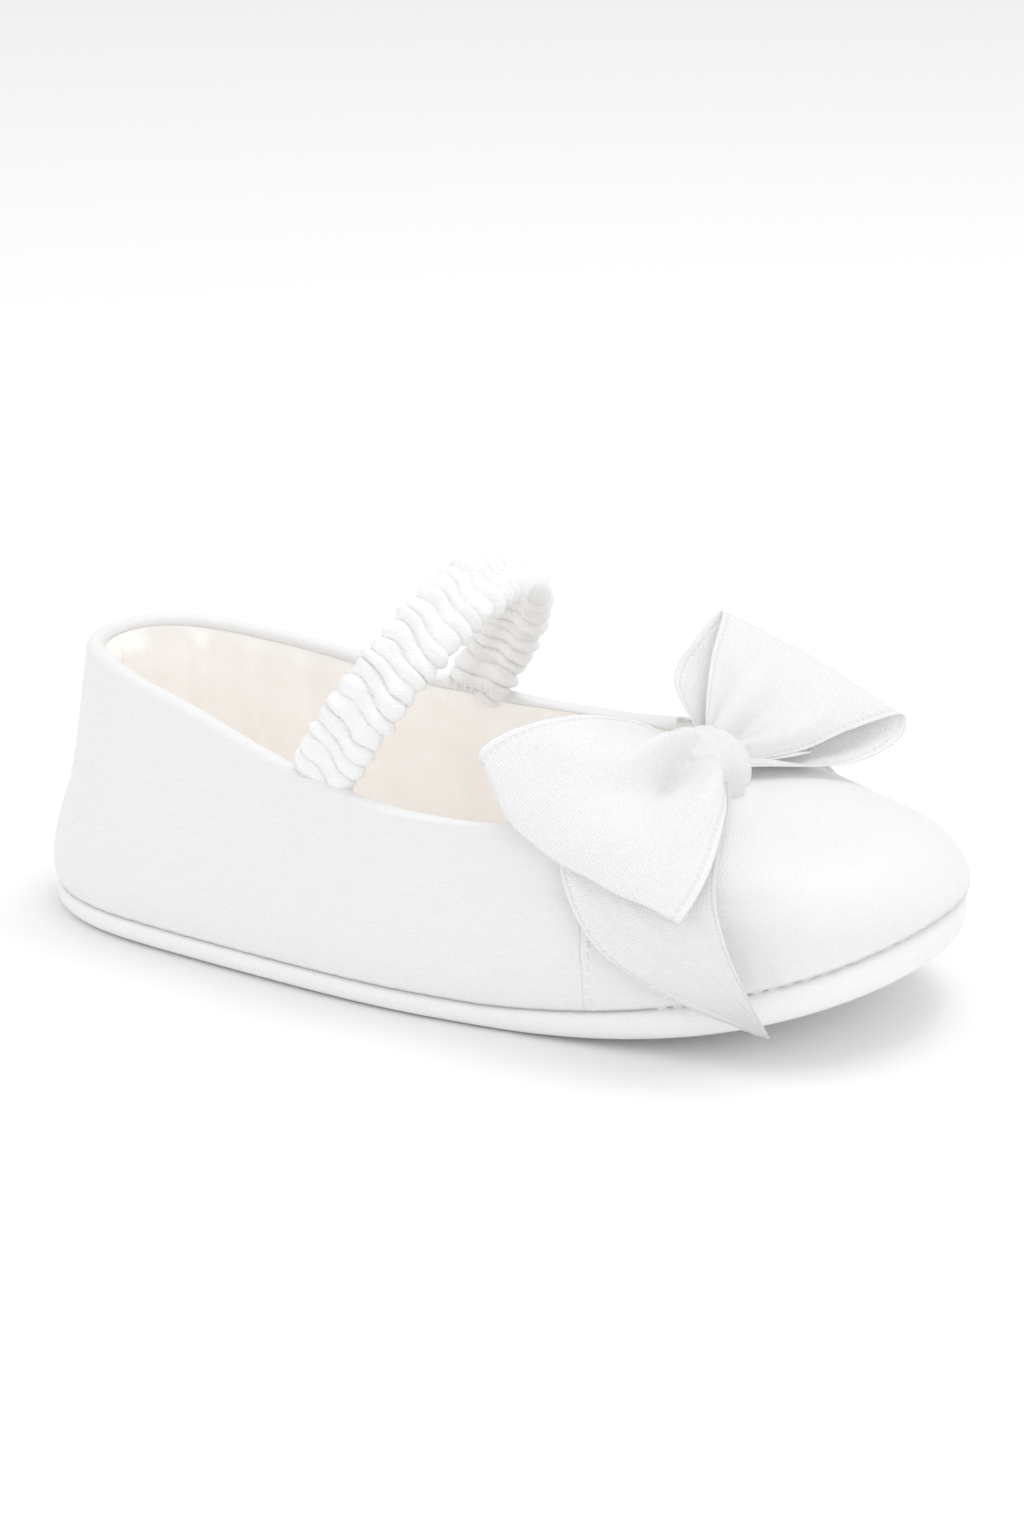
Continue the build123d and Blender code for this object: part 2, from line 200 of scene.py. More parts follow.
def capsules(name, places, radius, length, sides=8):
    """Short rounded stitches as one mesh: places are (middle, direction)."""
    profile = [(-0.5, 0.15), (-0.44, 0.7), (-0.3, 1.0), (0.3, 1.0), (0.44, 0.7), (0.5, 0.15)]
    verts, faces = [], []
    for middle, direction in places:
        z = np.array(direction, float)
        z /= np.linalg.norm(z)
        x = np.cross(z, (0.3, 0.2, 1.0))
        x /= np.linalg.norm(x)
        y = np.cross(z, x)
        base = len(verts)
        for t, r in profile:
            for k in range(sides):
                turn = 2 * math.pi * k / sides
                verts.append(middle + z * t * length + (x * math.cos(turn) + y * math.sin(turn)) * r * radius)
        for ring in range(len(profile) - 1):
            for k in range(sides):
                a, b = base + ring * sides + k, base + ring * sides + (k + 1) % sides
                faces.append((a, b, b + sides, a + sides))
        faces.append(tuple(base + k for k in reversed(range(sides))))
        faces.append(tuple(base + (len(profile) - 1) * sides + k for k in range(sides)))
    data = bpy.data.meshes.new(name)
    data.from_pydata([tuple(v * MM) for v in verts], [], faces)
    data.shade_smooth()
    obj = bpy.data.objects.new(name, data)
    bpy.context.scene.collection.objects.link(obj)
    return obj


# ------------------------------------------------------------------ the last

def spring(x):
    """How far the toe's arc lifts the underside off the ground."""
    past = np.maximum(np.asarray(x, float) - SPRING_START, 0.0)
    return SPRING_RADIUS - np.sqrt(SPRING_RADIUS ** 2 - past ** 2)


def feather(x):
    """The height of the feather line, where the upper meets the sole."""
    forward = np.clip((np.asarray(x, float) - SPRING_START) / (TOE_END - SPRING_START), 0.0, 1.0)
    return SOLE_EDGE + (SOLE_EDGE_TOE - SOLE_EDGE) * forward + spring(x)


def breadth(x, z):
    """Half the last's width, blended from the heel's to the ball's."""
    heel = HALF_HEEL + SIDE_BULGE * np.maximum(1 - ((z - 8) / 9) ** 2, -1) - 0.17 * np.maximum(z - 17, 0)
    ball = (HALF_BALL + SIDE_BULGE * np.maximum(1 - ((z - 9) / 8) ** 2, -0.5) - 0.08 * np.maximum(z - 17, 0)
            - 0.3 * np.maximum(z - 26, 0))
    return heel + (ball - heel) * blend01((x + 42) / 46)


def on_last(s, side, z):
    """A point of the last: s runs from -1 at the heel to 1 at the toe, side is -1 near or 1 far."""
    heel = HEEL_X - HEEL_BULGE * np.maximum(1 - ((z - 7) / 9) ** 2, 0) + HEEL_RAKE * np.maximum(z - 7, 0)
    toe = curve(CREST, z)
    power = np.where(s < 0, 4.0, 4.6 - 1.6 * blend01((z - 16) / 10))
    turn = math.pi / 2 * s * s
    x = CENTRE_X + np.where(s < 0, heel - CENTRE_X, toe - CENTRE_X) * np.sin(turn) ** (2 / power)
    return np.stack([x, side * breadth(x, z) * np.cos(turn), z + 0 * x], -1)


def removed(p):
    """True above the top line."""
    return (p[..., 0] < TOP_LINE[-1][0]) & (p[..., 2] > curve(TOP_LINE, p[..., 0]))


def columns():
    """Stations round the last: from the heel along the near side to the toe, back along the far side."""
    s = np.linspace(-1, 1, SIDE_COLUMNS)
    return np.r_[s, s[-2:0:-1]], np.r_[-np.ones(SIDE_COLUMNS), np.ones(SIDE_COLUMNS - 2)]


def cross_height(s, side, test, low, high):
    """Height on each column where test turns true, by halving."""
    low, high = low + 0 * s, high + 0 * s
    for _ in range(30):
        middle = (low + high) / 2
        hit = test(on_last(s, side, middle))
        high = np.where(hit, middle, high)
        low = np.where(hit, low, middle)
    return (low + high) / 2


def outer_grid():
    """The upper's outer surface from the feather line to the top line."""
    s, side = columns()
    foot = cross_height(s, side, lambda p: p[..., 2] > feather(p[..., 0]), 0.0, 24.0)
    top = cross_height(s, side, removed, foot, 36.0)
    fine = np.linspace(0, 1, 240)[:, None]
    line = on_last(s[None], side[None], foot[None] + (top - foot)[None] * fine)
    gone = lengths(line, 0)
    share = np.linspace(0, 1, OUTER_ROWS) ** 0.9
    out = np.empty((OUTER_ROWS, len(s), 3))
    for c in range(len(s)):
        want = share * gone[-1, c]
        for k in range(3):
            out[:, c, k] = np.interp(want, gone[:, c], line[:, c, k])
    return out


def dress_outer(grid):
    """Puckers at the feather line, the side seam's step and the cloth's slow unevenness."""
    n = normals(grid, closed=True)
    up, round_ = lengths(grid, 0), lengths(grid, 1)
    x, z = grid[..., 0], grid[..., 2]
    from_seam = (x + SEAM_SLOPE * z - SEAM_FOOT) / math.hypot(1, SEAM_SLOPE)
    seam = -0.1 * np.exp(-(from_seam / 0.5) ** 2) + 0.1 * np.exp(-((from_seam - 1.0) / 0.8) ** 2)
    seam = seam - 0.05 * np.exp(-((from_seam - 1.9) / 0.3) ** 2)
    toe = blend01((x - 20) / 30)
    pucker = np.sin(round_ * 2 * math.pi / 3.1 + 1.3 * ripple(round_ * 0.2, 0 * up, 3))
    pucker = pucker * np.exp(-up / 2.6) * (0.03 + 0.05 * toe)
    tuck = -0.4 * np.exp(-up / 0.5)
    slow = 0.1 * ripple(x * 0.12, z * 0.16 + grid[..., 1] * 0.08, 5) * blend01(up / 6)
    edge = up[-1][None] - up
    ditch = -0.1 * np.exp(-((edge - 3.0) / 1.0) ** 2)
    full = 0.9 * blend01((x - 40) / 14) * np.exp(-((up - 7) / 9) ** 2)
    return grid + n * (seam + pucker + tuck + slow + ditch + full)[..., None]


def upper_grids():
    """Outer surface with its rolled edge, and the lining below it."""
    outer = dress_outer(outer_grid())
    n = normals(outer, closed=True)
    radius = WALL / 2 + 0.12
    up = lengths(outer, 0)
    edge = up[-1] - radius
    kept, kept_n = np.empty_like(outer), np.empty_like(outer)
    for c in range(outer.shape[1]):
        want = np.linspace(0, edge[c], OUTER_ROWS)
        for k in range(3):
            kept[:, c, k] = np.interp(want, up[:, c], outer[:, c, k])
            kept_n[:, c, k] = np.interp(want, up[:, c], n[:, c, k])
    kept_n /= np.linalg.norm(kept_n, axis=-1, keepdims=True)
    end, end_n = kept[-1], kept_n[-1]
    rise = kept[-1] - kept[-4]
    rise /= np.linalg.norm(rise, axis=-1, keepdims=True)
    rise -= end_n * (rise * end_n).sum(-1, keepdims=True)
    rise /= np.linalg.norm(rise, axis=-1, keepdims=True)
    centre = end - end_n * radius
    turn = np.linspace(0, math.pi, ROLL_ROWS + 1)[1:, None, None]
    roll = centre + radius * (np.cos(turn) * end_n + np.sin(turn) * rise)
    inner = (kept - kept_n * 2 * radius)[::-1]
    return kept, roll, inner


def trim_inner(inner):
    """The lining from the rolled edge down to the footbed."""
    up = lengths(inner, 0)
    out = np.empty((INNER_ROWS, inner.shape[1], 3))
    for c in range(inner.shape[1]):
        line = inner[:, c]
        floor = feather(line[:, 0]) + FOOTBED - 0.6
        below = np.nonzero(line[:, 2] < floor)[0]
        last = up[below[0], c] if len(below) else up[-1, c]
        want = np.linspace(0, last, INNER_ROWS)
        for k in range(3):
            out[:, c, k] = np.interp(want, up[:, c], line[:, k])
    return out


def dress_lining(grid):
    """Vertical creases of the loose sateen, deepest round the heel."""
    n = normals(grid, closed=True)
    down, round_ = lengths(grid, 0), lengths(grid, 1)
    x = grid[..., 0]
    heel = blend01((-22 - x) / 22)
    crease = np.zeros_like(x)
    for place, deep, wide in ((-53.5, 0.55, 1.3), (-47.0, 0.8, 1.1), (-40.5, 0.45, 1.7), (-33.0, 0.5, 1.4),
                              (-26.0, 0.3, 2.2), (-15.0, 0.25, 3.0), (-3.0, 0.2, 3.4), (9.0, 0.2, 3.0)):
        lean = place + 0.06 * (grid[..., 2] - 18) * (1 if place < -40 else -1)
        crease = crease + 2.4 * deep * np.exp(-((x - lean) / wide) ** 2)
    slow = 0.22 * ripple(round_ * 0.2, down * 0.1, 11) * (0.5 + heel)
    fade = blend01(down / 2.5)
    return grid + n * ((crease * (0.35 + 0.65 * heel) + slow) * fade)[..., None]


# ------------------------------------------------------------------ materials

def material(name):
    made = bpy.data.materials.new(name)
    made.use_nodes = True
    tree = made.node_tree
    return made, tree, tree.nodes["Principled BSDF"]


def math_node(tree, operation, a, b=None):
    made = tree.nodes.new("ShaderNodeMath")
    made.operation = operation
    for socket, value in zip(made.inputs, (a, b)):
        if value is None:
            continue
        if isinstance(value, (int, float)):
            socket.default_value = value
        else:
            tree.links.new(value, socket)
    return made.outputs[0]


def cloth_coords(tree, turn=0.0, scale=(1000.0, 1000.0, 1000.0), source="UV"):
    coords = tree.nodes.new("ShaderNodeTexCoord")
    mapping = tree.nodes.new("ShaderNodeMapping")
    mapping.inputs["Rotation"].default_value = (0, 0, turn)
    mapping.inputs["Scale"].default_value = scale
    tree.links.new(coords.outputs[source], mapping.inputs["Vector"])
    return mapping.outputs["Vector"]


def wave(tree, vector, pitch, direction="X", distortion=0.0):
    """Waves of one pitch in millimetres, from 0 to 1."""
    made = tree.nodes.new("ShaderNodeTexWave")
    made.bands_direction = direction
    made.inputs["Scale"].default_value = 0.314 / pitch
    made.inputs["Distortion"].default_value = distortion
    made.inputs["Detail"].default_value = 1.0
    tree.links.new(vector, made.inputs["Vector"])
    return made.outputs["Fac"]


def noise(tree, vector, size, detail=3.0, rough=0.5):
    """Noise whose blobs are about size millimetres across."""
    made = tree.nodes.new("ShaderNodeTexNoise")
    made.inputs["Scale"].default_value = 1.0 / size
    made.inputs["Detail"].default_value = detail
    made.inputs["Roughness"].default_value = rough
    tree.links.new(vector, made.inputs["Vector"])
    return made.outputs["Fac"]


def tint(tree, fac, low, high):
    """Colour that runs from low to high as fac goes from 0 to 1."""
    ramp = tree.nodes.new("ShaderNodeValToRGB")
    ramp.color_ramp.elements[0].color = (*low, 1)
    ramp.color_ramp.elements[1].color = (*high, 1)
    ramp.color_ramp.elements[0].position = 0.3
    ramp.color_ramp.elements[1].position = 0.7
    tree.links.new(fac, ramp.inputs["Fac"])
    return ramp.outputs["Color"]


def weighted(tree, one, one_share, other, other_share):
    """The sum of two sockets, each times its share."""
    scaled = math_node(tree, "MULTIPLY", one, one_share)
    return math_node(tree, "ADD", scaled, math_node(tree, "MULTIPLY", other, other_share))


def add_bump(tree, shader, height, distance, strength=1.0):
    bump = tree.nodes.new("ShaderNodeBump")
    bump.inputs["Distance"].default_value = distance * MM
    bump.inputs["Strength"].default_value = strength
    tree.links.new(height, bump.inputs["Height"])
    tree.links.new(bump.outputs["Normal"], shader.inputs["Normal"])


def satin(name, low, high, roughness, depth, sheen, source="UV", crumple=0.0):
    """Dull-faced satin: a fine diagonal twill with crepe grain over it."""
    made, tree, shader = material(name)
    straight = cloth_coords(tree, 0.0, source=source)
    slant = cloth_coords(tree, math.radians(58), source=source)
    twill = wave(tree, slant, 0.42, distortion=1.4)
    grain = noise(tree, straight, 0.38, 2.0, 0.6)
    slub = noise(tree, cloth_coords(tree, 0.3, (300.0, 1600.0, 900.0), source), 1.0, 2.0)
    height = weighted(tree, twill, 0.5, grain, 0.8)
    height = math_node(tree, "ADD", height, math_node(tree, "MULTIPLY", slub, 0.08))
    if crumple:
        wrinkle = noise(tree, cloth_coords(tree, 0.0, (700.0, 1300.0, 1000.0), source), 1.3, 2.0)
        height = math_node(tree, "ADD", height, math_node(tree, "MULTIPLY", wrinkle, crumple))
    shade = weighted(tree, grain, 0.8, slub, 0.2)
    tree.links.new(tint(tree, shade, low, high), shader.inputs["Base Color"])
    patch = noise(tree, straight, 9.0, 2.0)
    rough = math_node(tree, "ADD", math_node(tree, "MULTIPLY", patch, 0.1), roughness - 0.05)
    tree.links.new(rough, shader.inputs["Roughness"])
    shader.inputs["Sheen Weight"].default_value = sheen
    shader.inputs["Sheen Roughness"].default_value = 0.35
    shader.inputs["Specular IOR Level"].default_value = 0.42
    add_bump(tree, shader, height, depth)
    return made


def sateen():
    """Cream lining: smooth sateen with fine warp lines and soft mottling."""
    made, tree, shader = material("lining_sateen")
    coords = cloth_coords(tree)
    lines = wave(tree, coords, 0.45, distortion=1.0)
    grain = noise(tree, coords, 0.5, 2.0)
    mottle = noise(tree, coords, 7.0, 3.0)
    colour = tint(tree, mottle, (0.925, 0.895, 0.865), (0.965, 0.945, 0.92))
    tree.links.new(colour, shader.inputs["Base Color"])
    shader.inputs["Roughness"].default_value = 0.5
    shader.inputs["Sheen Weight"].default_value = 0.15
    shader.inputs["Specular IOR Level"].default_value = 0.4
    height = math_node(tree, "ADD", math_node(tree, "MULTIPLY", lines, 0.4), grain)
    add_bump(tree, shader, height, 0.03)
    # painted glow: the lining emits a little light that lifts the shade inside the shoe, standing in for
    # light through the thin walls
    shader.inputs["Emission Color"].default_value = (1.0, 0.97, 0.93, 1)
    shader.inputs["Emission Strength"].default_value = 0.08
    return made


def ribbon_cloth():
    """Sheer ribbon: plain weave, and a woven edge with its row of holes on both sides."""
    made, tree, shader = material("ribbon_organza")
    coords = cloth_coords(tree)
    warp = wave(tree, coords, 0.3, "X", 0.6)
    weft = wave(tree, coords, 0.27, "Y", 0.6)
    weave = math_node(tree, "MULTIPLY", warp, weft)
    grain = noise(tree, coords, 0.4, 2.0, 0.6)
    split = tree.nodes.new("ShaderNodeSeparateXYZ")
    tree.links.new(coords, split.inputs[0])
    across = math_node(tree, "ABSOLUTE", split.outputs["X"])
    band = math_node(tree, "GREATER_THAN", across, 11.9)
    line = math_node(tree, "SUBTRACT", 1.0, math_node(tree, "MINIMUM", 1.0, math_node(
        tree, "MULTIPLY", math_node(tree, "ABSOLUTE", math_node(tree, "SUBTRACT", across, 11.6)), 3.4)))
    dots = math_node(tree, "POWER", math_node(tree, "ABSOLUTE", math_node(
        tree, "SINE", math_node(tree, "MULTIPLY", split.outputs["Y"], 3.6))), 0.7)
    holes = math_node(tree, "MULTIPLY", line, dots)
    tree.links.new(tint(tree, grain, (0.85, 0.85, 0.86), (0.90, 0.90, 0.907)), shader.inputs["Base Color"])
    shader.inputs["Roughness"].default_value = 0.42
    shader.inputs["Sheen Weight"].default_value = 0.25
    shader.inputs["Specular IOR Level"].default_value = 0.5
    # painted glow: the ribbon emits a little light that keeps its shaded folds bright, standing in for light
    # through the sheer cloth
    shader.inputs["Emission Color"].default_value = (1, 1, 1, 1)
    shader.inputs["Emission Strength"].default_value = 0.06
    clear = math_node(tree, "SUBTRACT", 0.9, math_node(tree, "MULTIPLY", weave, 0.14))
    clear = math_node(tree, "ADD", clear, math_node(tree, "MULTIPLY", band, 0.05))
    closed = math_node(tree, "SUBTRACT", clear, math_node(tree, "MULTIPLY", holes, 0.18))
    clear = math_node(tree, "MINIMUM", 1.0, closed)
    tree.links.new(clear, shader.inputs["Alpha"])
    height = weighted(tree, weave, 0.8, grain, 0.9)
    height = math_node(tree, "ADD", height, math_node(tree, "MULTIPLY", band, 0.9))
    height = math_node(tree, "SUBTRACT", height, math_node(tree, "MULTIPLY", holes, 1.2))
    add_bump(tree, shader, height, 0.05)
    return made


def plain_cloth(name, low, high, size, roughness, depth):
    """Felt, foam, board, elastic and thread: mottled colour with a matching grain."""
    made, tree, shader = material(name)
    coords = cloth_coords(tree, source="Object")
    grain = noise(tree, coords, size, 4.0, 0.6)
    tree.links.new(tint(tree, grain, low, high), shader.inputs["Base Color"])
    shader.inputs["Roughness"].default_value = roughness
    add_bump(tree, shader, grain, depth)
    return made


SATIN = satin("upper_satin", (0.82, 0.82, 0.825), (0.88, 0.88, 0.882), 0.48, 0.03, 0.2)
# painted light: the sole's satin is a lighter copy of the upper's satin, lifting the shade on its down-facing
# side
SOLE_SATIN_PAINTED_LIGHTER = satin("sole_satin", (0.88, 0.88, 0.883), (0.93, 0.93, 0.932), 0.48, 0.03, 0.2)
STRAP_SATIN = satin("strap_satin", (0.90, 0.90, 0.903), (0.95, 0.95, 0.952), 0.42, 0.06, 0.2, crumple=3.0)
SATEEN = sateen()
RIBBON = ribbon_cloth()
THREAD = plain_cloth("sewing_thread", (0.84, 0.84, 0.84), (0.92, 0.92, 0.92), 0.3, 0.6, 0.05)
FELT = plain_cloth("felt", (0.72, 0.71, 0.68), (0.86, 0.85, 0.82), 0.6, 0.9, 0.1)
FOAM = plain_cloth("foam", (0.78, 0.75, 0.65), (0.88, 0.85, 0.76), 0.5, 0.85, 0.1)
BOARD = plain_cloth("fibre_board", (0.45, 0.36, 0.25), (0.62, 0.52, 0.38), 0.8, 0.8, 0.05)
ELASTIC = plain_cloth("elastic_tape", (0.78, 0.78, 0.76), (0.9, 0.9, 0.88), 0.5, 0.7, 0.08)


def dress(obj, finish, slot, body, *nodes):
    """Gives a piece its material and its body, and hides the CAD nodes that it stands for; the record slot is
    not used.
    """
    obj.data.materials.clear()
    obj.data.materials.append(finish)
    if nodes:
        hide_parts(*nodes)
    if body:
        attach(obj, body)
    return obj


# ------------------------------------------------------------------ upper

SEAM_PLANE = ((SEAM_FOOT, 0, 0), (1, 0, SEAM_SLOPE))
BEHIND_SEAM = ((SEAM_FOOT, 0, 0), (-1, 0, -SEAM_SLOPE))
LEFT, RIGHT = ((0, 0, 0), (0, 1, 0)), ((0, 0, 0), (0, -1, 0))


def split_upper(whole, layer, finish, slot, thickness):
    """Vamp and two quarters out of one layer of the upper."""
    cuts = {f"vamp_{layer}": (SEAM_PLANE,), f"quarter_{layer}_left": (BEHIND_SEAM, LEFT),
            f"quarter_{layer}_right": (BEHIND_SEAM, RIGHT)}
    for name, planes in cuts.items():
        piece = cut(whole, name + "_cloth", *planes)
        thicken(piece, thickness)
        dress(piece, finish, slot, "shoe", name)
    bpy.data.objects.remove(whole)


def cloth_uv(grid):
    return np.stack([lengths(grid, 1)[0][None].repeat(grid.shape[0], 0), lengths(grid, 0)], -1)


def make_upper():
    kept, roll, inner = upper_grids()
    outside = np.vstack([kept, roll])
    split_upper(mesh("outside", outside, cloth_uv(outside), closed=True), "outer", SATIN, "upper_satin", 0.35)
    lining = dress_lining(trim_inner(inner))
    split_upper(mesh("inside", lining, cloth_uv(lining), closed=True), "lining", SATEEN, "lining", 0.3)
    middle = (kept - normals(kept, closed=True) * 0.75)[: OUTER_ROWS - 3: 3]
    felt = mesh("between", middle, cloth_uv(middle), closed=True)
    split_upper(felt, "interlining", FELT, "interlining", 0.5)
    return kept


# ------------------------------------------------------------------ sole and footbed

def rim(s, side, inset, height):
    """Points round the last at the feather line's height, inset and set at another height."""
    foot = cross_height(s, side, lambda p: p[..., 2] > feather(p[..., 0]), 0.0, 24.0)
    p = on_last(s, side, foot)
    ahead = np.roll(p, -1, axis=0) - np.roll(p, 1, axis=0)
    out = np.stack([ahead[:, 1], -ahead[:, 0]], -1)
    out /= np.linalg.norm(out, axis=-1, keepdims=True)
    p[:, :2] -= out * inset
    p[:, 2] = height(p[:, 0])
    return p


SOLE_BANDS = (  # inset, share of the height up to the feather line, extra height
    (2.4, 1.0, 0.35), (1.3, 1.0, 0.1), (0.75, 0.97, -0.1), (0.32, 0.84, 0), (0.1, 0.64, 0),
    (0.14, 0.44, 0), (0.45, 0.23, 0), (1.1, 0.08, 0), (2.0, 0.015, 0), (3.2, 0.0, 0),
)


def make_sole():
    """Satin wrapped over the pad: tucked under the upper, full at the side, flat below."""
    s, side = columns()
    rows = []
    for inset, share, extra in SOLE_BANDS:
        def height(x, share=share, extra=extra):
            return spring(x) + share * (feather(x) - spring(x)) + extra
        rows.append(rim(s, side, inset, height))
    rows = through_rows(np.array(rows), 26)
    low = rows[-1]
    near, far = low[:SIDE_COLUMNS], np.vstack([low[0], low[:SIDE_COLUMNS - 1:-1], low[SIDE_COLUMNS - 1]])
    n = normals(rows, closed=True)
    round_ = lengths(rows, 1)
    share = np.linspace(0, 1, len(rows))[:, None]
    toe = blend01((rows[..., 0] - 20) / 30)
    pleats = np.sin(round_ * 2 * math.pi / PLEAT_SPACING + ripple(round_ * 0.15, 0 * round_, 2))
    gather = (0.02 + 0.03 * toe) * pleats * np.exp(-share * 7)
    slow = 0.1 * ripple(round_ * 0.1, share * 2, 4) * np.sin(math.pi * np.clip(share * 1.4, 0, 1))
    rows = rows + n * (gather + slow)[..., None]
    side_piece = mesh("sole_side", rows, cloth_uv(rows), closed=True, flip=True)
    across = np.linspace(0, 1, 40)[:, None, None]
    bottom = near[None] * (1 - across) + far[None] * across
    bottom[..., 2] = spring(bottom[..., 0])
    under = mesh("sole_under", bottom, bottom[..., :2].copy(), flip=False)
    return join("sole_cover_satin", side_piece, under)


def through_rows(rows, count):
    """Resamples a stack of rings smoothly, ring by ring."""
    out = np.empty((count, rows.shape[1], 3))
    for c in range(rows.shape[1]):
        out[:, c] = through(rows[:, c], count)
    return out


def join(name, *parts):
    """Several meshes as one, with doubled edge points merged."""
    work = bmesh.new()
    for part in parts:
        work.from_mesh(part.data)
    bmesh.ops.remove_doubles(work, verts=work.verts, dist=2e-5)
    bmesh.ops.recalc_face_normals(work, faces=work.faces)
    data = bpy.data.meshes.new(name)
    work.to_mesh(data)
    work.free()
    for part in parts:
        bpy.data.objects.remove(part)
    data.shade_smooth()
    obj = bpy.data.objects.new(name, data)
    bpy.context.scene.collection.objects.link(obj)
    return obj


def make_footbed():
    """The cream sock laid on its foam: slightly dished, its edge turned down at the wall."""
    s, side = columns()
    ring = rim(s, side, WALL + 0.5, lambda x: feather(x) + FOOTBED)
    near, far = ring[:SIDE_COLUMNS], np.vstack([ring[0], ring[:SIDE_COLUMNS - 1:-1], ring[SIDE_COLUMNS - 1]])
    across = np.linspace(0, 1, 90)[:, None, None]
    top = near[None] * (1 - across) + far[None] * across
    dish = np.sin(math.pi * across[..., 0])
    dimples = 0.12 * ripple(top[..., 0] * 0.15, top[..., 1] * 0.2, 6)
    top[..., 2] = feather(top[..., 0]) + FOOTBED - 0.5 * dish ** 0.5 + dimples
    obj = mesh("insole_sock_cloth", top, top[..., :2].copy())
    thicken(obj, 0.4)
    return obj


# ------------------------------------------------------------------ strap

def strap_foot():
    """The middle between the strap's two feet, and how far out from it each foot stands."""
    top = float(curve(TOP_LINE, STRAP_X))
    low, high = -1.0, 1.0
    for _ in range(40):
        middle = (low + high) / 2
        if on_last(np.array(middle), 1.0, np.array(top))[0] > STRAP_X:
            high = middle
        else:
            low = middle
    out = float(on_last(np.array(low), 1.0, np.array(top))[1]) - WALL / 2
    return np.array((STRAP_X, 0.0, top)), out


def ruched_tube(name, foot, out, rise, width, thick, puffs, rows=900, round_=56):
    """A gathered tube on the strap's arch: two staggered lines of puffs either side of the middle."""
    t = np.linspace(0, math.pi, rows)
    plane_up = rise * np.sin(t)
    plane_out = -out * np.cos(t)
    path = np.stack([0 * t, plane_out, plane_up], -1)
    steps = np.linspace(-2.6, -0.1, 20)
    leg = np.stack([0 * steps, 0 * steps - out, steps], -1)
    path = np.vstack([leg, path, leg[::-1] * (1, -1, 1)])
    tucked = 0.7 * np.exp(-np.maximum(path[:, 2] + 2, 0) / 3.5)
    path[:, 1] -= np.sign(path[:, 1]) * tucked
    gone = np.r_[0, np.cumsum(np.linalg.norm(np.diff(path, axis=0), axis=1))]
    even = np.linspace(0, gone[-1], rows)
    path = np.stack([np.interp(even, gone, path[:, k]) for k in range(3)], -1)
    along = np.gradient(path, axis=0)
    along /= np.linalg.norm(along, axis=-1, keepdims=True)
    face = np.cross(along, (1.0, 0, 0))
    turn = np.linspace(0, 2 * math.pi, round_, endpoint=False)
    share = even / gone[-1]
    wander = 0.35 * np.sin(share * 21 + 1.0) + 0.3 * np.sin(share * 47 + 2.0) + 0.2 * np.sin(share * 83)
    c, sn = np.cos(turn)[None], np.sin(turn)[None]
    phase = math.pi * (puffs * share[:, None] + 0.28 * wander[:, None])
    stagger = 0.5 * math.pi * np.tanh(c * 5) * 0.6 + 0.15 * sn
    shape = np.abs(np.sin(phase + stagger + 0.22 * np.sin(3 * turn[None] + share[:, None] * 60)))
    puff = shape ** 0.55
    seesaw = 0.22 * np.sin(share * 133 + 0.6)[:, None] * np.tanh(c * 5)
    size = 0.85 + seesaw + 0.16 * np.sin(share[:, None] * 71 + 2 * c)
    middle = np.exp(-(c / 0.2) ** 2)
    end = 1 - 0.06 * np.exp(-share * 26) - 0.06 * np.exp(-(1 - share) * 26)
    half_wide = (width / 2) * end[:, None] * (0.84 + 0.2 * puff * size)
    half_thick = (thick / 2) * end[:, None] * (0.55 + 0.6 * puff * size) * (1 - 0.42 * middle)
    box_c = np.sign(c) * np.abs(c) ** 0.75
    x = half_wide * box_c
    f = half_thick * np.sign(sn) * np.abs(sn) ** 0.8
    slant = 0.22 * c * np.sin(phase * 0.5 + 1)
    grid = path[:, None] + x[..., None] * np.array((1.0, 0, 0)) + f[..., None] * face[:, None]
    grid = grid + slant[..., None] * along[:, None]
    lean = np.array(Matrix.Rotation(STRAP_LEAN, 3, "Y"))
    grid = grid @ lean.T + foot
    grid[0] = grid[0].mean(0)
    grid[-1] = grid[-1].mean(0)
    uv = np.stack([lengths(np.concatenate([grid, grid[:, :1]], 1), 1)[:, :-1].mean(0)[None].repeat(rows, 0),
                   even[:, None].repeat(round_, 1)], -1)
    return mesh(name, grid, uv, closed=True)


def make_strap():
    """The gathered cover over the elastic, and the stitches that hold its ends."""
    foot, out = strap_foot()
    foot = foot + (0, 0, STRAP_LIFT)
    cover = ruched_tube("strap_cover_satin", foot, out, STRAP_RISE, STRAP_WIDTH, STRAP_THICK, STRAP_PUFFS)
    cover.data.materials.append(STRAP_SATIN)
    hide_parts("strap_cover")
    base = Vector(foot)
    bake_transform(cover)
    for name, side in (("left", 1), ("right", -1)):
        places = [(base + Vector((along, side * (out - 2.9 + 0.3 * (k % 2)), -1.4)), (0.25, 0, 1))
                  for k, along in enumerate(np.linspace(-2.8, 2.8, 6))]
        places = [(np.array(middle), along) for middle, along in places]
        thread = capsules(f"strap_tack_thread_{name}", places, 0.16, 1.3)
        dress(thread, THREAD, "thread", "shoe", f"strap_tack_{name}")


# ------------------------------------------------------------------ bow

